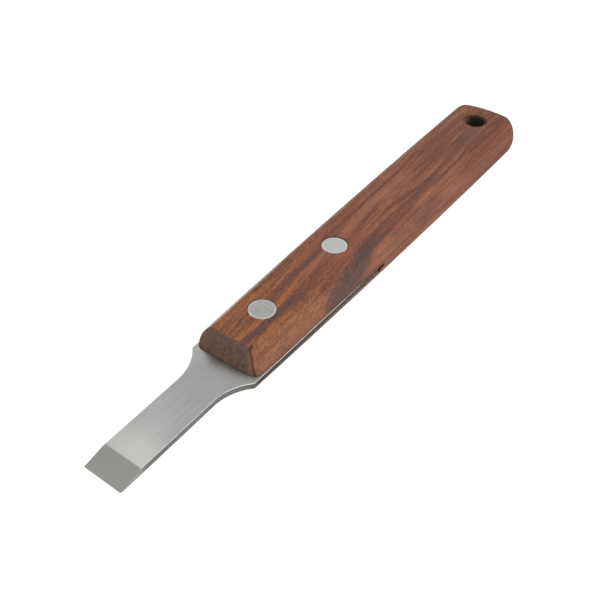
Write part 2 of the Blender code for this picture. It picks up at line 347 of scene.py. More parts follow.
def bellyLoftTree():
    # lofts a plan outline through a bellied section: widest at the blade, flat on top and underneath
    tree = bpy.data.node_groups.new("belliedLoft", "GeometryNodeTree")
    addSockets(tree, {
        "Geometry": ["plan"],
        "Float": ["rise", "drop", "upperBelly", "lowerBelly", "upperCrease", "lowerCrease", "cornerFade",
                  "buttCorner", "tightestCorner", "buttX", "crown", "crownRun", "lean", "frontRound",
                  "sweepAngle", "waviness"],
        "Int": ["levels", "seed"], "Material": ["wood"]})
    addSockets(tree, {"Geometry": ["handle"]}, "OUTPUT")
    given = addNode(tree, "NodeGroupInput").outputs
    number, times = partial(calc, tree), partial(product, tree)
    plan, levels = given["plan"], given["levels"]
    grid, column, row, count = wrapGrid(tree, plan, rows=levels)
    around = number("MODULO", column, count)

    def planValue(name):
        kept = addNode(tree, "GeometryNodeInputNamedAttribute", {"Name": name}, data_type="FLOAT")
        return outlineValue(tree, plan, "FLOAT", kept.outputs["Attribute"], around)

    position = addNode(tree, "GeometryNodeInputPosition")
    place = addNode(tree, "ShaderNodeSeparateXYZ", {
        0: outlineValue(tree, plan, "FLOAT_VECTOR", position, around)})

    # level runs from -1 at the underside to 1 at the top
    level = number("DIVIDE", times(row, 2), number("SUBTRACT", levels, 1))
    level = number("SUBTRACT", level, 1)
    above = number("GREATER_THAN", level, 0)
    angle = times(number("ABSOLUTE", level), given["sweepAngle"])

    def either(upper, lower):
        more = number("SUBTRACT", given[upper], given[lower])
        return number("ADD", given[lower], times(above, more))

    belly, limit = either("upperBelly", "lowerBelly"), either("rise", "drop")
    crease = either("upperCrease", "lowerCrease")
    inset = times(belly, number("SUBTRACT", 1, number("COSINE", angle)))
    bulge = times(belly, number("SINE", angle))
    height = number("SMOOTH_MIN", bulge, limit, crease)
    # the end face leans back, turns softly into the top and goes on turning past the crease
    pastCrease = times(number("MAXIMUM", number("SUBTRACT", bulge, limit), 0), 1.5)
    roundFrom = number("SUBTRACT", limit, given["frontRound"])
    nearTop = number("DIVIDE", number("SUBTRACT", height, roundFrom), given["frontRound"], clamp=True)
    arc = number("SQRT", number("SUBTRACT", 1, times(nearTop, nearTop)))
    turnBack = times(given["frontRound"], number("SUBTRACT", 1, arc))
    leans = number("ADD", times(height, given["lean"]), number("ADD", turnBack, pastCrease))
    fade = number("SUBTRACT", 1, times(number("DIVIDE", height, limit), given["cornerFade"]))
    goesBack = number("ADD", times(planValue("frontShare"), leans), times(planValue("cornerBack"), fade))
    # the plan shrinks inwards: first its corners tighten, then its core gives way
    corner = number("MAXIMUM", number("SUBTRACT", given["buttCorner"], inset), given["tightestCorner"])
    shrink = number("SUBTRACT", inset, number("SUBTRACT", given["buttCorner"], corner))
    coreX = number("SUBTRACT", place.outputs[0], times(planValue("buttShare"), shrink))
    coreHalf = planValue("coreHalf")
    coreY = times(place.outputs[1], number("SUBTRACT", 1, number("DIVIDE", shrink, coreHalf)))
    y = number("ADD", coreY, times(corner, planValue("outY")))
    plainX = number("ADD", number("ADD", coreX, goesBack), times(corner, planValue("outX")))
    # the butt is bowed: its corners lie further forward than its middle
    fromButt = number("DIVIDE", number("SUBTRACT", given["buttX"], plainX), given["crownRun"])
    reach = number("MAXIMUM", number("SUBTRACT", 1, fromButt), 0)
    sideways = number("DIVIDE", y, number("ADD", coreHalf, given["buttCorner"]))
    bow = times(times(given["crown"], reach), times(sideways, sideways))
    x = number("SUBTRACT", plainX, bow)
    z = number("ADD", place.outputs[2], times(height, number("SIGN", level)))
    lofted = addNode(tree, "GeometryNodeSetPosition", {"Geometry": grid, "Position": xyz(tree, x, y, z)})
    closed = addNode(tree, "GeometryNodeMergeByDistance", {
        "Geometry": addNode(tree, "GeometryNodeFlipFaces", {"Mesh": lofted}), "Distance": 0.0000002})

    # hand sanding leaves the surface very slightly uneven
    unevenness = addNode(tree, "ShaderNodeTexNoise", {"Scale": 90.0, "Detail": 1.0, "W": given["seed"]},
                         noise_dimensions="4D")
    offset = times(number("SUBTRACT", unevenness.outputs[0], 0.5), given["waviness"],
                   number("SUBTRACT", 1, nearTop))
    sanded = addNode(tree, "GeometryNodeSetPosition", {
        "Geometry": closed,
        "Offset": addNode(tree, "ShaderNodeVectorMath", {
            0: addNode(tree, "GeometryNodeInputNormal"), "Scale": offset}, operation="SCALE")})
    return finishTree(tree, sanded, given["wood"], "handle")


def holeCutter():
    # the bore, with a worn countersink at each end
    radius, depth, edge = hole["radius"], hole["rimDepth"], hole["rimEdge"]
    wide = radius + hole["rim"]
    half = [(0, past), (wide + edge, past), (wide + edge, 0), (wide, -edge * 0.4),
            (radius + 0.1 * hole["rim"], -depth * 0.9), (radius, -depth * 1.2)]
    profile = [(r, handleHigh.z + z) for r, z in half] + [(r, handleLow.z - z) for r, z in reversed(half)]
    return turned("holeCutter", profile, hole["steps"], tipX + hole["station"])


def seatCutter(x, shift):
    # the counterbores for both heads and the hole for the tube
    wide = rivets["headRadius"] + rivets["slack"] + abs(shift) / 2
    floor, tube = rivets["headThickness"] + rivets["slack"], rivets["tubeRadius"] + rivets["slack"]
    top, bottom = handleHigh.z, handleLow.z
    profile = [(0, top + past), (wide, top + past), (wide, top - floor), (tube, top - floor),
               (tube, bottom + floor), (wide, bottom + floor), (wide, bottom - past), (0, bottom - past)]
    return turned("seatCutter", profile, rivets["steps"], x + shift / 2)


def kerfCutters():
    # the slot for the tang, and the shallower end that the saw leaves behind it
    slotEnd, top = bladeHigh.x + kerf["behindTang"], bladeTop + kerf["slack"]
    slot = boxPiece("kerfCutter", (frontX - 2 * past, -aside, bladeUnder - kerf["slack"]),
                    (slotEnd, aside, top))
    runOut = boxPiece("kerfRunOutCutter", (slotEnd - past, -aside, bladeTop - kerf["runOutDepth"]),
                      (tipX + kerf["end"], aside, bladeTop + kerf["slack"] / 2))
    return [slot, runOut]


def makeHandle(wood):
    piece = planPiece()
    runTree(piece, bellyLoftTree(), {
        **handle, "rise": handleHigh.z - bladeTop, "drop": bladeTop - handleLow.z, "buttX": buttX,
        "sweepAngle": math.radians(handle["sweep"]), "seed": 3, "wood": wood})
    closeFlats(piece, handleLow.z, handleHigh.z)
    seats = [seatCutter(centreX(node), gap) for node, gap in zip(upperRivets, (0.0, rivets["rearGap"]))]
    cutAway(piece, kerfCutters() + [holeCutter()] + seats)
    setMaterials(piece, wood)
    smooth(piece, handle["sharpAngle"])
    return piece


steel = {
    "tipWidth": 0.0121, "neckWidth": 0.0125, "neckEnd": 0.0323, "shoulder": 0.0152, "shoulderSteps": 32,
    "tangFront": 0.0217, "tangCorner": 0.0012, "tangProud": 0.00010, "cornerSteps": 12,
    "edge": 0.00017, "edgeSteps": 3, "bevelledAbove": 60, "sharpAngle": 28, "holeSteps": 64,
    "grindLength": 0.0070, "grindDepth": 0.0015, "backGrind": 0.0012,
    "sideBelow": 0.3, "faceAbove": 0.99,     # how upright normals are on the sheared side and on the face
}


def bladePlan():
    # starts a little past the tip, and the grinding takes that off
    rise = (steel["tangFront"] - steel["neckWidth"]) / 2
    sweep = math.acos(1 - rise / steel["shoulder"])
    half = [(tipX - past, steel["tipWidth"] / 2)]
    for i in range(steel["shoulderSteps"] + 1):
        a = sweep * i / steel["shoulderSteps"]
        half.append((tipX + steel["neckEnd"] + steel["shoulder"] * math.sin(a),
                     steel["neckWidth"] / 2 + steel["shoulder"] * (1 - math.cos(a))))
    endX, endHalf, corner = bladeHigh.x, bladeHigh.y + steel["tangProud"], steel["tangCorner"]
    for i in range(steel["cornerSteps"] + 1):
        a = math.pi / 2 * (1 - i / steel["cornerSteps"])
        half.append((endX - corner + corner * math.cos(a), endHalf - corner + corner * math.sin(a)))
    return half + [(x, -y) for x, y in reversed(half)]


def grindCutter(name, length, face, edge, outward):
    # the wedge of steel taken off one face by the grinder, from the tip back
    reach, thickness, halfWidth = 2 * past, 0.006, 0.012
    slope = (face - edge) / length
    outside = face + outward * thickness
    profile = [(-reach, edge - slope * reach), (length + reach, face + slope * reach),
               (length + reach, outside), (-reach, outside)]
    shape = bmesh.new()
    near = [shape.verts.new((tipX + s, -halfWidth, z)) for s, z in profile]
    far = [shape.verts.new((tipX + s, halfWidth, z)) for s, z in profile]
    shape.faces.new(near)
    shape.faces.new(far[::-1])
    for i in range(4):
        shape.faces.new((near[i], far[i], far[(i + 1) % 4], near[(i + 1) % 4]))
    bmesh.ops.recalc_face_normals(shape, faces=shape.faces)
    return fromBmesh(name, shape)


def tangHoleCutter(node):
    radius, top, bottom = rivets["tubeRadius"] + rivets["slack"], bladeTop + past, bladeUnder - past
    profile = [(0, top), (radius, top), (radius, bottom), (0, bottom)]
    return turned("tangHole", profile, steel["holeSteps"], centreX(node))


def makeBlade(faceSteel, edgeSteel, wornSteel):
    shape = bmesh.new()
    lower = [shape.verts.new((x, y, bladeUnder)) for x, y in bladePlan()]
    base = shape.faces.new(lower)
    raised = bmesh.ops.extrude_face_region(shape, geom=[base])["geom"]
    bmesh.ops.translate(shape, verts=[v for v in raised if isinstance(v, bmesh.types.BMVert)],
                        vec=(0, 0, bladeTop - bladeUnder))
    bmesh.ops.recalc_face_normals(shape, faces=shape.faces)
    piece = fromBmesh("steelBlade", shape)
    bevel = piece.modifiers.new("edges", "BEVEL")
    bevel.width = steel["edge"]
    bevel.segments = steel["edgeSteps"]
    bevel.limit_method = "ANGLE"
    bevel.angle_limit = math.radians(steel["bevelledAbove"])
    finishedMesh(piece)
    edgeHeight = bladeTop - steel["grindDepth"]
    cutAway(piece, [grindCutter("upperGrind", steel["grindLength"], bladeTop, edgeHeight, 1),
                    grindCutter("lowerGrind", steel["backGrind"], bladeUnder, edgeHeight, -1)]
            + [tangHoleCutter(node) for node in upperRivets])
    setMaterials(piece, faceSteel, edgeSteel, wornSteel)
    for polygon in piece.data.polygons:
        upright = abs(polygon.normal.z)
        rounded = upright < steel["faceAbove"] and polygon.center.x > tipX + steel["grindLength"]
        polygon.material_index = 1 if upright < steel["sideBelow"] else 2 if rounded else 0
    smooth(piece, steel["sharpAngle"])
    return piece


def rivetProfiles():
    # (radius, height) from the axis round the outside and back to the axis
    r, edge, dome = rivets["headRadius"], rivets["edge"], rivets["dome"]
    top, bottom, seat = handleHigh.z, handleLow.z, rivets["headThickness"]
    head = [(0, 0)]
    for i in range(1, rivets["domeSteps"]):
        share = i / rivets["domeSteps"]
        head.append(((r - edge) * share, -dome * share ** 2))
    for i in range(rivets["edgeSteps"] + 1):
        a = math.pi / 2 * i / rivets["edgeSteps"]
        head.append((r - edge + edge * math.sin(a), -dome - edge * (1 - math.cos(a))))
    pin, tube, slack = rivets["pinRadius"], rivets["tubeRadius"], rivets["slack"]
    chamfer = rivets["pinChamfer"]
    pinEnd = bottom + seat + rivets["pinGap"]
    tubeEnd = top - seat - rivets["tubeGap"]
    male = [(x, top + z) for x, z in head]
    male += [(r, top - seat), (pin, top - seat), (pin, pinEnd + chamfer), (pin - chamfer, pinEnd),
             (0, pinEnd)]
    female = [(x, bottom - z) for x, z in head]
    female += [(r, bottom + seat), (tube, bottom + seat), (tube, tubeEnd),
               (pin + slack, tubeEnd), (pin + slack, bottom + seat), (0, bottom + seat)]
    return male, female


def turnedRivetTree():
    # turns a profile about Z and sets one at each place along a line
    tree = bpy.data.node_groups.new("turnedRivets", "GeometryNodeTree")
    addSockets(tree, {"Geometry": ["profile"], "Float": ["firstX", "spacing", "rearSink"],
                      "Int": ["count", "steps", "seed"], "Bool": ["insideOut"], "Material": ["metal"]})
    addSockets(tree, {"Geometry": ["rivets"]}, "OUTPUT")
    given = addNode(tree, "NodeGroupInput").outputs
    number, times = partial(calc, tree), partial(product, tree)
    profile, steps = given["profile"], given["steps"]
    grid, column, row = wrapGrid(tree, profile, columns=steps)[:3]
    position = addNode(tree, "GeometryNodeInputPosition")
    place = addNode(tree, "ShaderNodeSeparateXYZ", {
        0: outlineValue(tree, profile, "FLOAT_VECTOR", position, row)})
    angle = times(number("DIVIDE", column, steps), 2 * math.pi)
    spun = xyz(tree, times(place.outputs[0], number("COSINE", angle)),
               times(place.outputs[0], number("SINE", angle)), place.outputs[2])
    shaped = addNode(tree, "GeometryNodeSetPosition", {"Geometry": grid, "Position": spun})
    closed = addNode(tree, "GeometryNodeMergeByDistance", {"Geometry": shaped, "Distance": 0.000002})
    flipped = addNode(tree, "GeometryNodeFlipFaces", {"Mesh": closed, "Selection": given["insideOut"]})

    sink = times(given["rearSink"], -1)
    places = addNode(tree, "GeometryNodeMeshLine", {
        "Count": given["count"],
        "Start Location": xyz(tree, given["firstX"]),
        "Offset": xyz(tree, given["spacing"], z=sink)})
    turnBy = addNode(tree, "FunctionNodeRandomValue", {"Seed": given["seed"]}, data_type="FLOAT")
    turn = times(turnBy.outputs[1], 2 * math.pi)
    placed = addNode(tree, "GeometryNodeInstanceOnPoints", {
        "Points": places, "Instance": flipped, "Rotation": xyz(tree, z=turn)})
    return finishTree(tree, placed, given["metal"], "rivets")


def makeRivets(metal):
    tree = turnedRivetTree()
    firstX, lastX = [centreX(node) for node in upperRivets]
    made = []
    for name, profile, sink, seed in zip(("rivetHeads", "rivetSockets"), rivetProfiles(),
                                         (rivets["rearSink"], 0.0), (4, 9)):
        shape = bmesh.new()
        line = [shape.verts.new((r, 0, z)) for r, z in profile]
        for a, b in zip(line, line[1:]):
            shape.edges.new((a, b))
        piece = fromBmesh(name, shape)
        runTree(piece, tree, {
            "firstX": firstX, "spacing": lastX - firstX, "rearSink": sink, "count": 2,
            "steps": rivets["steps"], "seed": seed, "insideOut": name == "rivetHeads", "metal": metal})
        smooth(piece, rivets["sharpAngle"])
        made.append(piece)
    return made


def newMaterial(name):
    material = bpy.data.materials.new(name)
    material.use_nodes = True
    tree = material.node_tree
    return material, tree, tree.nodes["Principled BSDF"]


def millimetres(tree):
    # station from the cutting edge, y, and height above the blade's upper face
    where = addNode(tree, "ShaderNodeTexCoord").outputs["Object"]
    moved = addNode(tree, "ShaderNodeVectorMath", {0: where, 1: (-tipX, 0, -bladeTop)})
    scaled = addNode(tree, "ShaderNodeVectorMath", {0: moved, "Scale": 1000.0}, operation="SCALE")
    split = addNode(tree, "ShaderNodeSeparateXYZ", {0: scaled})
    return tuple(split.outputs)


def noise(tree, along, across, up, scales, detail=2.0, roughness=0.5, shift=0.0):
    # noise stretched by its own scale on each axis, per millimetre
    place = xyz(tree, calc(tree, "MULTIPLY_ADD", along, scales[0], shift),
                product(tree, across, scales[1]), product(tree, up, scales[2]))
    return addNode(tree, "ShaderNodeTexNoise", {
        "Vector": place, "Scale": 1.0, "Detail": detail, "Roughness": roughness}).outputs["Fac"]


def tint(tree, share, first, second, blend="MIX"):
    mix = addNode(tree, "ShaderNodeMix", data_type="RGBA", blend_type=blend, clamp_result=False)
    feed(tree, mix.inputs[0], share)
    for socket, color in ((mix.inputs[6], first), (mix.inputs[7], second)):
        feed(tree, socket, (*color, 1) if isinstance(color, tuple) else color)
    return mix.outputs[2]


def setSurface(tree, shader, color, roughness, height, strength, depth, metallic=0):
    feed(tree, shader.inputs["Base Color"], color)
    feed(tree, shader.inputs["Roughness"], roughness)
    shader.inputs["Metallic"].default_value = metallic
    feed(tree, shader.inputs["Normal"], addNode(tree, "ShaderNodeBump", {
        "Height": height, "Strength": strength, "Distance": depth}))


def shortForms(tree):
    return partial(calc, tree), partial(remap, tree), partial(product, tree), partial(tint, tree)


def fromAxis(tree, where, station, y):
    # distance from an upright axis at a station, in millimetres
    dx = calc(tree, "SUBTRACT", station, where)
    return calc(tree, "SQRT", calc(tree, "ADD", product(tree, dx, dx), product(tree, y, y)))


rivetStations = [(centreX(node) - tipX) * 1000 for node in upperRivets]
frontStation = (frontX - tipX) * 1000

rosewood = {
    "base": (0.225, 0.079, 0.039), "front": (0.206, 0.070, 0.030), "butt": (0.162, 0.047, 0.018),
    "dark": (0.085, 0.030, 0.020), "light": (0.275, 0.120, 0.062), "orange": (0.30, 0.110, 0.034),
    # worn is a pale painted highlight, laid as the sheen along the upper belly of the +Y side
    "purple": (0.095, 0.042, 0.036), "grey": (0.072, 0.038, 0.034), "worn": (0.40, 0.29, 0.21),
    "endGrain": (0.130, 0.070, 0.048), "endDark": (0.050, 0.038, 0.031), "endRed": (0.092, 0.040, 0.028),
    # the grime colour is real dirt round the rivets and painted shade in the kerf and at the hole
    "facet": (0.120, 0.054, 0.040), "sawnButt": (0.080, 0.031, 0.019), "dirtAndShade": (0.026, 0.013, 0.009),
    # bore is painted shade inside the hole, and the lip colour painted light on one side of it
    "rim": (0.130, 0.055, 0.033), "bore": (0.012, 0.011, 0.005), "boreLitSide": (0.120, 0.060, 0.036),
    # the grain leaves the middle line slowly, then runs parallel, and wavers by so many millimetres
    "driftFrom": 45, "drift": 0.11, "bend": 0.0004, "wander": 5, "wiggle": 2.2,
    # from where to where a look sets in, in millimetres: stations first, then heights
    "frontZone": (105, 62), "buttZone": (135, 180), "sawnZone": (200.6, 202.9),
    "topZone": (1.0, 7.3), "litSideZone": (7.3, 5.8), "streakZone": (-1.0, 0.5), "shadedLowZone": (3.5, 0.0),
    "poreZone": (0.64, 0.72),            # of the noise
    # across the worn facet: slope and place of its inner line, then the curve of the dark line behind it
    "facetSlope": 0.12, "facetInner": -7.5, "darkLineSlope": 0.11, "darkLineIn": 0.08, "darkLineBow": 0.058,
    "roughness": 0.46, "gloss": 0.20, "fibreDepth": 0.00004,
    # the noises in the wood: scales along, across and up per millimetre, then detail, roughness, shift
    "noises": {
        "broad": ((0.008, 0.22, 0.30), 1.0, 0.5, 2.3),
        "bands": ((0.02, 0.65, 0.55), 2.5, 0.6, 7.1),
        "lines": ((0.035, 1.5, 1.2), 2.0, 0.6, 11.4),
        "fibres": ((0.10, 6.0, 5.0), 2.0, 0.65, 0.0),
        "mottle": ((0.65, 1.6, 1.6), 3.0, 0.75, 4.0),
        "blotches": ((0.28, 0.9, 0.9), 3.0, 0.7, 71.0),
        "flecks": ((1.1, 2.6, 2.6), 2.0, 0.6, 52.0),
        "patches": ((0.05, 0.30, 0.30), 2.0, 0.5, 31.0),
        "pores": ((0.35, 5.5, 5.5), 1.0, 0.5, 19.0),
    },
    # the figure, each layer over the last: noise, where it starts and is full, strength, mask, colour
    "figure": [
        ("broad", 0.45, 0.66, 0.40, "everywhere", "dark"),
        ("patches", 0.55, 0.72, 0.40, "everywhere", "grey"),
        ("bands", 0.50, 0.66, 0.52, "everywhere", "dark"),
        ("bands", 0.48, 0.34, 0.42, "everywhere", "light"),
        ("lines", 0.53, 0.63, 0.45, "top", "dark"),
        ("lines", 0.44, 0.34, 0.30, "top", "light"),
        ("mottle", 0.50, 0.66, 0.32, "front", "orange"),
        ("blotches", 0.52, 0.68, 0.35, "front", "purple"),
    ],
    "contrast": {"fibres": 1.3, "mottle": 1.0, "flecks": 1.1},
    # (station, y, half length, half width, slope, strength, colour), millimetres
    "streaks": [
        (58, -4.2, 19, 1.25, 0.00, 0.90, "purple"),
        (84, 2.1, 24, 1.15, 0.045, 0.85, "purple"),
        (118, 4.8, 26, 0.9, 0.02, 0.65, "dark"),
        (50, -2.1, 9, 0.9, -0.02, 0.60, "orange"),
        (68, -1.4, 8, 0.8, 0.10, 0.55, "orange"),
        (57, -6.5, 11, 0.8, 0.00, 0.55, "orange"),
        (58, 5.2, 16, 1.2, 0.00, 0.40, "orange"),
        # painted highlight: the pale sheen along the upper belly of the +Y side
        (60, 8.0, 22, 1.1, 0.028, 0.60, "worn"),
        (98, 1.1, 24, 0.6, 0.06, 0.60, "light"),
        (89, -10.4, 14.5, 2.3, 0.085, 0.85, "grey"),
        (131, 1.5, 16, 4.5, 0.00, 0.40, "light"),
        (127, -10.8, 18, 1.8, 0.00, 0.40, "dark"),
        (100.5, -8.0, 8, 1.5, 0.03, 0.70, "grey"),
        (107, -9.1, 8, 0.7, 0.02, 0.50, "grey"),
        (83, -5.9, 8, 0.35, 0.05, 0.60, "dark"),
        (103, -7.0, 9, 0.5, 0.06, 0.50, "dark"),
        (119, -8.7, 11, 0.5, 0.03, 0.60, "dark"),
        (136, 5.3, 16, 0.55, 0.03, 0.70, "dark"),
        (136, -4.3, 18, 0.6, -0.04, 0.65, "dark"),
        (141, -6.6, 10, 0.9, -0.10, 0.50, "purple"),
        (116, 0.3, 9, 0.9, 0.12, 0.50, "purple"),
        (160, 1.2, 20, 0.6, -0.01, 0.60, "dark"),
        (172, -2.6, 16, 0.7, 0.03, 0.55, "dark"),
        (156, -8.8, 16, 0.8, -0.02, 0.45, "light"),
    ],
}


def paint(tree, color, shade, *shares):
    # the colour moved towards a shade of the wood by the product of the shares
    return tint(tree, product(tree, *shares), color, rosewood[shade] if isinstance(shade, str) else shade)


def streakGroup():
    # a soft-ended streak: share of colour from where it lies, how long and wide it is and how it slopes
    tree = bpy.data.node_groups.new("woodStreak", "ShaderNodeTree")
    addSockets(tree, {"Float": ["Along", "Across", "Station", "Y", "Half Length", "Half Width", "Slope",
                                "Ragged"]})
    addSockets(tree, {"Float": ["Share"]}, "OUTPUT")
    given = addNode(tree, "NodeGroupInput").outputs
    dx = calc(tree, "SUBTRACT", given["Along"], given["Station"])
    dy = calc(tree, "SUBTRACT", calc(tree, "SUBTRACT", given["Across"], given["Y"]),
              product(tree, dx, given["Slope"]))
    u = calc(tree, "DIVIDE", dx, given["Half Length"])
    v = calc(tree, "DIVIDE", dy, given["Half Width"])
    reach = calc(tree, "ADD", calc(tree, "POWER", calc(tree, "ABSOLUTE", u), 3), product(tree, v, v))
    addNode(tree, "NodeGroupOutput", {0: remap(tree, calc(tree, "ADD", reach, given["Ragged"]), 1.3, 0.1)})
    return tree


def woodFigure(tree, station, y, z):
    # plain wood with its figure: colour, the noises it is made of and the slow wander of the grain
    number, ramp, times, mix = shortForms(tree)
    drifted = number("SUBTRACT", station, rosewood["driftFrom"])
    run = number("SUBTRACT", times(drifted, rosewood["drift"]), times(drifted, drifted, rosewood["bend"]))
    wander = number("SUBTRACT", noise(tree, station, y, z, (0.022, 0.05, 0.05), 1.0), 0.5)
    wiggle = number("SUBTRACT", noise(tree, station, y, z, (0.07, 0.12, 0.12), 2.0, shift=44.0), 0.5)
    across = number("ADD", number("SUBTRACT", y, run), times(wander, rosewood["wander"]))
    across = number("ADD", across, times(wiggle, rosewood["wiggle"]))
    up = number("ADD", z, times(wander, -3))
    noises = {name: noise(tree, station, across, up, *values) for name, values in rosewood["noises"].items()}

    front = ramp(station, *rosewood["frontZone"])
    color = mix(front, rosewood["base"], rosewood["front"])
    color = paint(tree, color, "butt", ramp(station, *rosewood["buttZone"]))
    # the sides are cut along the figure, so they show less of it
    masks = {"everywhere": 1.0, "top": ramp(z, *rosewood["topZone"], 0.45, 1.0), "front": front}
    for name, low, high, strength, mask, shade in rosewood["figure"]:
        color = paint(tree, color, shade, ramp(noises[name], low, high), strength, masks[mask])
    # painted light: near the front the sides are lighter than the top
    color = paint(tree, color, "light", front, ramp(z, *rosewood["litSideZone"]), 0.30)
    return color, noises, wander


def paintStreaks(tree, color, station, y, z, wander, lines):
    group = streakGroup()
    ragged = product(tree, calc(tree, "SUBTRACT", lines, 0.5), 1.6)
    across = calc(tree, "ADD", y, product(tree, wander, 1.2))
    upperHalf = remap(tree, z, *rosewood["streakZone"])
    for where, side, halfLength, halfWidth, slope, strength, shade in rosewood["streaks"]:
        streak = addNode(tree, "ShaderNodeGroup", {
            "Along": station, "Across": across, "Station": where, "Y": side, "Half Length": halfLength,
            "Half Width": halfWidth, "Slope": slope, "Ragged": ragged}, node_tree=group)
        color = paint(tree, color, shade, streak.outputs[0], strength, upperHalf)
    return color


def paintEndFace(tree, color, station, y, z):
    # the sawn end face, which drank more oil and dirt, with a paler worn facet and a thin dark line along its
    # -Y edge
    number, ramp, times, mix = shortForms(tree)
    leaning = number("MULTIPLY_ADD", number("ABSOLUTE", z), handle["lean"], frontStation)
    intoFace = number("SUBTRACT", station, leaning)
    belly = handle["upperBelly"] * 1000
    chord = number("SUBTRACT", belly * belly, times(z, z))
    edgeY = number("ADD", halfWidthAt(frontX) * 1000 - belly, number("SQRT", number("MAXIMUM", chord, 0)))
    fromSide = number("ADD", edgeY, y)
    fromTop = number("SUBTRACT", (handleHigh.z - bladeTop) * 1000, z)
    inner = number("MULTIPLY_ADD", z, rosewood["facetSlope"], rosewood["facetInner"])
    fromFacet = number("SUBTRACT", y, inner)
    darkLinePath = number("MULTIPLY_ADD", fromTop, rosewood["darkLineSlope"], rosewood["darkLineIn"])
    darkLinePath = number("ADD", darkLinePath, times(fromTop, z, rosewood["darkLineBow"]))
    fromDarkLine = number("SUBTRACT", fromSide, darkLinePath)

    endFace = times(ramp(intoFace, 0.75, 0.15), ramp(fromFacet, -0.15, 0.15))
    rings = noise(tree, station, y, z, (1.0, 1.3, 0.8), 4.0, 0.8)
    stains = noise(tree, station, y, z, (0.5, 1.1, 0.25), 2.0, shift=6.0)
    endTone = mix(ramp(rings, 0.38, 0.62), rosewood["endGrain"], rosewood["endDark"])
    endTone = paint(tree, endTone, "purple", ramp(stains, 0.5, 0.7), 0.6)
    endTone = paint(tree, endTone, "endRed", ramp(y, 2, 9), 0.5)
    color = paint(tree, color, endTone, endFace, 0.94)
    nearEnd = times(ramp(intoFace, 1.7, 1.1), ramp(z, -0.1, 0.0))
    facet = ramp(fromFacet, 0.15, -0.15)
    color = paint(tree, color, "facet", facet, ramp(fromDarkLine, 0.0, 0.2), nearEnd, 0.75)
    # a thin dark line along the -Y edge, between the facet and the side
    split = ramp(number("ABSOLUTE", fromDarkLine), 0.44, 0.16)
    return paint(tree, color, "dirtAndShade", split, nearEnd, 0.75), endFace


def paintKerf(tree, color, station, z):
    # the sawn kerf is painted dark inside: painted shade in the slot
    slotEnd = (bladeHigh.x - tipX + kerf["behindTang"]) * 1000
    kerfEnd = kerf["end"] * 1000
    rise = (bladeTop - bladeUnder - kerf["runOutDepth"]) * 1000
    runOut = remap(tree, station, slotEnd + 0.1, slotEnd + 0.2)
    slotLow = calc(tree, "SUBTRACT", z, product(tree, runOut, rise))
    return paint(tree, color, "dirtAndShade", remap(tree, z, 0.12, 0.04), remap(tree, slotLow, -2.12, -2.04),
                 remap(tree, station, kerfEnd + 0.5, kerfEnd + 0.1), 0.9)


def paintBore(tree, color, station, y, z):
    # a worn rim whose far side and edge line are darkened as painted shade, and a bore painted near black as
    # shade, browner at one lip as painted light
    number, ramp, times, mix = shortForms(tree)
    middle = hole["station"] * 1000
    radius, rimRadius = hole["radius"] * 1000, (hole["radius"] + hole["rim"]) * 1000
    distance = fromAxis(tree, middle, station, y)
    behind = number("SUBTRACT", station, middle)
    # painted shade: the rim darkens towards its far side
    rimTone = mix(ramp(behind, -1.5, 2.5), rosewood["rim"], rosewood["dirtAndShade"])
    color = paint(tree, color, rimTone, ramp(distance, rimRadius + 0.15, rimRadius - 0.1), 0.9)
    fromRim = number("ABSOLUTE", number("SUBTRACT", distance, rimRadius + 0.08))
    # painted shade: a dark line round the edge of the rim
    color = paint(tree, color, "dirtAndShade", ramp(fromRim, 0.22, 0.05), 0.80)
    # the bore wall is painted near black as shade, and browner at one lip as painted light
    slant = number("SUBTRACT", times(y, 0.85), times(behind, 0.5))
    lip = times(ramp(slant, 0.6, 3.2), ramp(z, 1.5, 5.5))
    wall = mix(lip, rosewood["bore"], rosewood["boreLitSide"])
    color = paint(tree, color, wall, ramp(distance, radius + 0.12, radius - 0.02))
    return color, ramp(distance, rimRadius + 0.2, rimRadius)


def makeRosewood():
    material, tree, shader = newMaterial("oiledRosewood")
    station, y, z = millimetres(tree)
    number, ramp, times, mix = shortForms(tree)
    color, noises, wander = woodFigure(tree, station, y, z)
    color = paintStreaks(tree, color, station, y, z, wander, noises["lines"])

    tone = 1.0
    for name, strength in rosewood["contrast"].items():
        swing = number("ADD", 1, times(number("SUBTRACT", noises[name], 0.5), strength))
        tone = times(tone, swing)
    color = mix(1.0, color, xyz(tree, tone, tone, tone), "MULTIPLY")
    shadedLowSide = ramp(z, *rosewood["shadedLowZone"])      # darker and duller towards the bottom; the darkening is painted shade
    color = paint(tree, color, "dark", shadedLowSide, 0.20)
    bowed = number("ADD", station, times(y, y, 0.014))
    color = paint(tree, color, "sawnButt", ramp(bowed, *rosewood["sawnZone"]), 0.6)
    pores = ramp(noises["pores"], *rosewood["poreZone"])
    color = paint(tree, color, "dark", pores, 0.5)
    color, endFace = paintEndFace(tree, color, station, y, z)
    color = paintKerf(tree, color, station, z)
    color, inBore = paintBore(tree, color, station, y, z)
    headRadius = rivets["headRadius"] * 1000
    for where in rivetStations:             # dirt round the rivet heads
        distance = fromAxis(tree, where, station, y)
        color = paint(tree, color, "dirtAndShade", ramp(distance, headRadius + 0.55, headRadius + 0.02), 0.25)

    rough = rosewood["roughness"]
    for field, strength in ((number("SUBTRACT", noises["fibres"], 0.5), 0.25),
                            (number("SUBTRACT", noises["broad"], 0.5), 0.2),
                            (pores, 0.15), (inBore, 0.4), (shadedLowSide, 0.3), (endFace, 0.2)):
        rough = number("ADD", rough, times(field, strength))
    relief = number("SUBTRACT", times(noises["fibres"], 0.6), times(pores, 0.8))
    setSurface(tree, shader, color, rough, relief, 0.6, rosewood["fibreDepth"])
    shader.inputs["Specular IOR Level"].default_value = rosewood["gloss"]
    return material


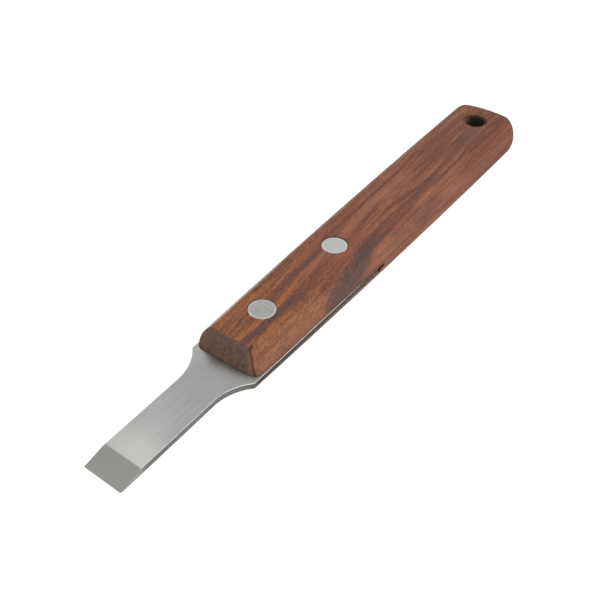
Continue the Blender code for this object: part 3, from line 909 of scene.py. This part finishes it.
metal = {
    "brushDark": (0.295, 0.304, 0.300), "brushPale": (0.445, 0.450, 0.440), "hair": (0.282, 0.282, 0.279),
    "cloud": (0.466, 0.462, 0.445), "tipHighlight": (0.548, 0.540, 0.511),
    "groundDark": (0.290, 0.290, 0.272), "groundPale": (0.330, 0.330, 0.308), "brushDepth": 0.000012,
    # the sheared and tip-side colours are a painted reflection of dark surroundings
    "shadedSideDark": (0.10, 0.10, 0.095), "shadedSidePale": (0.20, 0.20, 0.19),
    # the gripped colours are painted shade for steel inside the kerf
    "kerfShadeDark": (0.020, 0.015, 0.012), "kerfShadePale": (0.065, 0.055, 0.048),
    "tipSideDark": (0.25, 0.25, 0.235), "tipSidePale": (0.30, 0.30, 0.285),
    # the edge colours are a painted highlight on the rounded blade edges
    "edgeHighlightDark": (0.50, 0.50, 0.49), "edgeHighlightPale": (0.82, 0.82, 0.81),
    "headDark": (0.300, 0.305, 0.292), "headPale": (0.555, 0.555, 0.520), "dent": (0.282, 0.282, 0.282),
    "rearSheenDark": (0.515, 0.512, 0.500), "rearSheenPale": (0.680, 0.676, 0.655),
    "headRimHighlight": (0.72, 0.72, 0.70), "roughDepth": 0.00002,
}


def makeBrushedSteel():
    material, tree, shader = newMaterial("brushedSteel")
    station, y, z = millimetres(tree)
    number, ramp, times, mix = shortForms(tree)
    brush = noise(tree, station, y, z, (0.06, 7.0, 7.0), 3.0, 0.7)
    hairs = noise(tree, station, y, z, (0.05, 3.2, 3.2), 2.0, 0.6, shift=5.0)
    clouds = noise(tree, station, y, z, (0.05, 0.15, 0.15), 2.0, 0.5, shift=9.0)
    cross = noise(tree, station, y, z, (9.0, 0.25, 0.25), 2.0, 0.6)
    grindEnd, backEnd = steel["grindLength"] * 1000, steel["backGrind"] * 1000
    ground = times(ramp(z, -1.98, -1.94), ramp(station, grindEnd + 0.05, grindEnd - 0.05))
    ground = number("MAXIMUM", ground, ramp(station, backEnd + 0.05, backEnd - 0.05))
    streaky = number("MULTIPLY_ADD", ramp(hairs, 0.36, 0.64), 0.42, times(brush, 0.58))
    color = mix(streaky, metal["brushDark"], metal["brushPale"])
    color = mix(times(ramp(hairs, 0.55, 0.75), 0.35), color, metal["hair"])
    color = mix(times(ramp(clouds, 0.4, 0.7), 0.25), color, metal["cloud"])
    # painted highlight: the face grows paler towards the tip
    color = mix(times(ramp(station, 20, 8), 0.80), color, metal["tipHighlight"])
    color = mix(ground, color, mix(cross, metal["groundDark"], metal["groundPale"]))
    rough = number("ADD", number("ADD", 0.27, times(brush, 0.14)), times(ground, 0.05))
    relief = number("ADD", times(number("SUBTRACT", 1, ground), brush), times(ground, cross, 0.5))
    setSurface(tree, shader, color, rough, relief, 0.5, metal["brushDepth"], 1)
    shader.inputs["Anisotropic"].default_value = 0.5
    feed(tree, shader.inputs["Tangent"], xyz(tree, y=1.0))
    return material


def makeShearedSteel():
    material, tree, shader = newMaterial("shearedSteel")
    station, y, z = millimetres(tree)
    grain = noise(tree, station, y, z, (0.5, 4.0, 6.0), 3.0, 0.7)
    # painted reflection: the sheared sides are darker than the faces, less so near the tip
    color = tint(tree, grain, metal["shadedSideDark"], metal["shadedSidePale"])
    # painted shade: inside the handle the tang's sides are near black
    kerfShadeShare = remap(tree, station, frontStation - 3, frontStation + 1)
    color = tint(tree, kerfShadeShare, color, tint(tree, grain, metal["kerfShadeDark"], metal["kerfShadePale"]))
    tipSide = tint(tree, grain, metal["tipSideDark"], metal["tipSidePale"])
    color = tint(tree, remap(tree, station, 9, 6), color, tipSide)
    rough = remap(tree, grain, 0.3, 0.7, 0.40, 0.60)
    setSurface(tree, shader, color, rough, grain, 0.5, metal["roughDepth"], 1)
    return material


def makeEdgeHighlightAndShade():
    material, tree, shader = newMaterial("edgeHighlightAndShade")
    station, y, z = millimetres(tree)
    edgeVariation = noise(tree, station, y, z, (0.35, 1.0, 1.0), 3.0, 0.7)
    # painted highlight: the rounded edges are far paler than the faces
    color = tint(tree, edgeVariation, metal["edgeHighlightDark"], metal["edgeHighlightPale"])
    # painted shade: deep in the kerf the edges are near black
    deepInKerf = remap(tree, station, 99.0, 100.5)
    color = tint(tree, deepInKerf, color, metal["kerfShadeDark"])
    rough = calc(tree, "MAXIMUM", remap(tree, edgeVariation, 0.3, 0.7, 0.22, 0.36), product(tree, deepInKerf, 0.8))
    setSurface(tree, shader, color, rough, edgeVariation, 0.4, metal["roughDepth"], 1)
    return material


def makeRivetMetal():
    material, tree, shader = newMaterial("rivetAluminium")
    station, y, z = millimetres(tree)
    number, ramp, times, mix = shortForms(tree)
    scratches = noise(tree, station, y, z, (1.2, 5.0, 2.0), 4.0, 0.75)
    dents = noise(tree, station, y, z, (0.5, 0.5, 0.5), 3.0, 0.6, shift=3.0)
    color = mix(ramp(scratches, 0.30, 0.70), metal["headDark"], metal["headPale"])
    color = mix(times(ramp(dents, 0.5, 0.75), 0.5), color, metal["dent"])
    fromCentre = number("MINIMUM", *[fromAxis(tree, where, station, y) for where in rivetStations])
    # painted highlight: the rear head is paler than the front one
    rearSheen = mix(scratches, metal["rearSheenDark"], metal["rearSheenPale"])
    color = mix(times(ramp(station, 70, 85), 0.8), color, rearSheen)
    # painted highlight: a pale ring near the edge of each head
    worn = times(ramp(fromCentre, 3.1, 3.6), ramp(dents, 0.40, 0.62, 0.10, 0.55))
    color = mix(worn, color, metal["headRimHighlight"])
    setSurface(tree, shader, color, ramp(scratches, 0.3, 0.7, 0.30, 0.48),
               number("ADD", scratches, dents), 0.5, metal["roughDepth"], 1)
    return material


handlePiece = makeHandle(makeRosewood())
print("handle:", len(handlePiece.data.polygons), "faces")
bladePiece = makeBlade(makeBrushedSteel(), makeShearedSteel(), makeEdgeHighlightAndShade())
print("blade:", len(bladePiece.data.polygons), "faces")
rivetPieces = makeRivets(makeRivetMetal())
print("rivets:", [len(piece.data.polygons) for piece in rivetPieces], "faces")

for piece, nodes, slotName in (
    (handlePiece, ["handle"], "handle_wood"),
    (bladePiece, ["blade"], "blade_steel"),
    (rivetPieces[0], upperRivets, "rivet_metal"),
    (rivetPieces[1], lowerRivets, "rivet_metal"),
):
    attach(piece, "root")
    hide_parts(*nodes)
print("pieces ride on root")


# turns in radians about upright, about its own side and about the line of sight
camera = {"place": (-0.15797, -0.096307, 0.158301), "turn": -0.949, "tilt": 0.831, "roll": 0.013,
          "lens": 45.672}
stage = {
    "floorSize": 8, "floorDrop": 0.0002, "floorGrey": 0.35, "floorRoughness": 0.9, "floorGlow": 0.84,
    "world": 0.85,
    # (name, direction from the tool, distance, width, height, watts)
    "softboxes": [
        ("frontBox", (-0.45, -0.50, 0.74), 1.0, 1.5, 1.5, 6.8),
        ("tipBox", (0.20, 0.50, 0.84), 0.8, 0.10, 0.5, 0.14),
        ("edgeBox", (0.60, -0.70, 0.40), 0.9, 0.60, 0.12, 0.45),
    ],
}


def makeCamera():
    data = bpy.data.cameras.new("camera")
    data.sensor_width = 36
    data.lens = camera["lens"]
    data.clip_start = 0.01
    item = newObject("camera", data)
    turn = Matrix.Rotation(camera["turn"], 4, "Z") @ Matrix.Rotation(camera["tilt"], 4, "X")
    item.matrix_world = Matrix.Translation(camera["place"]) @ turn @ Matrix.Rotation(camera["roll"], 4, "Z")
    bpy.context.scene.camera = item


def softbox(name, direction, distance, width, height, watts):
    # faces the middle of the tool
    data = bpy.data.lights.new(name, "AREA")
    data.shape = "RECTANGLE"
    data.size, data.size_y = width, height
    data.energy = watts
    item = newObject(name, data)
    item.location = Vector(direction).normalized() * distance
    item.rotation_euler = (-item.location).to_track_quat("-Z", "Y").to_euler()


def makeFloor():
    shape = bmesh.new()
    bmesh.ops.create_grid(shape, x_segments=1, y_segments=1, size=stage["floorSize"])
    bmesh.ops.translate(shape, verts=shape.verts, vec=(0, 0, handleLow.z - stage["floorDrop"]))
    floor = fromBmesh("floor", shape)
    material, tree, shader = newMaterial("whiteFloor")
    for key, value in (("Base Color", (*[stage["floorGrey"]] * 3, 1)), ("Roughness", stage["floorRoughness"]),
                       ("Emission Color", (1, 1, 1, 1)), ("Emission Strength", stage["floorGlow"])):
        feed(tree, shader.inputs[key], value)
    setMaterials(floor, material)
    return floor


makeCamera()
floor = makeFloor()
for box in stage["softboxes"]:
    softbox(*box)
world = bpy.data.worlds.new("studio")
scene.world = world
world.use_nodes = True
background = world.node_tree.nodes["Background"]
background.inputs["Color"].default_value = (1, 1, 1, 1)
background.inputs["Strength"].default_value = stage["world"]
scene.view_settings.view_transform = "Standard"
print("stage set")
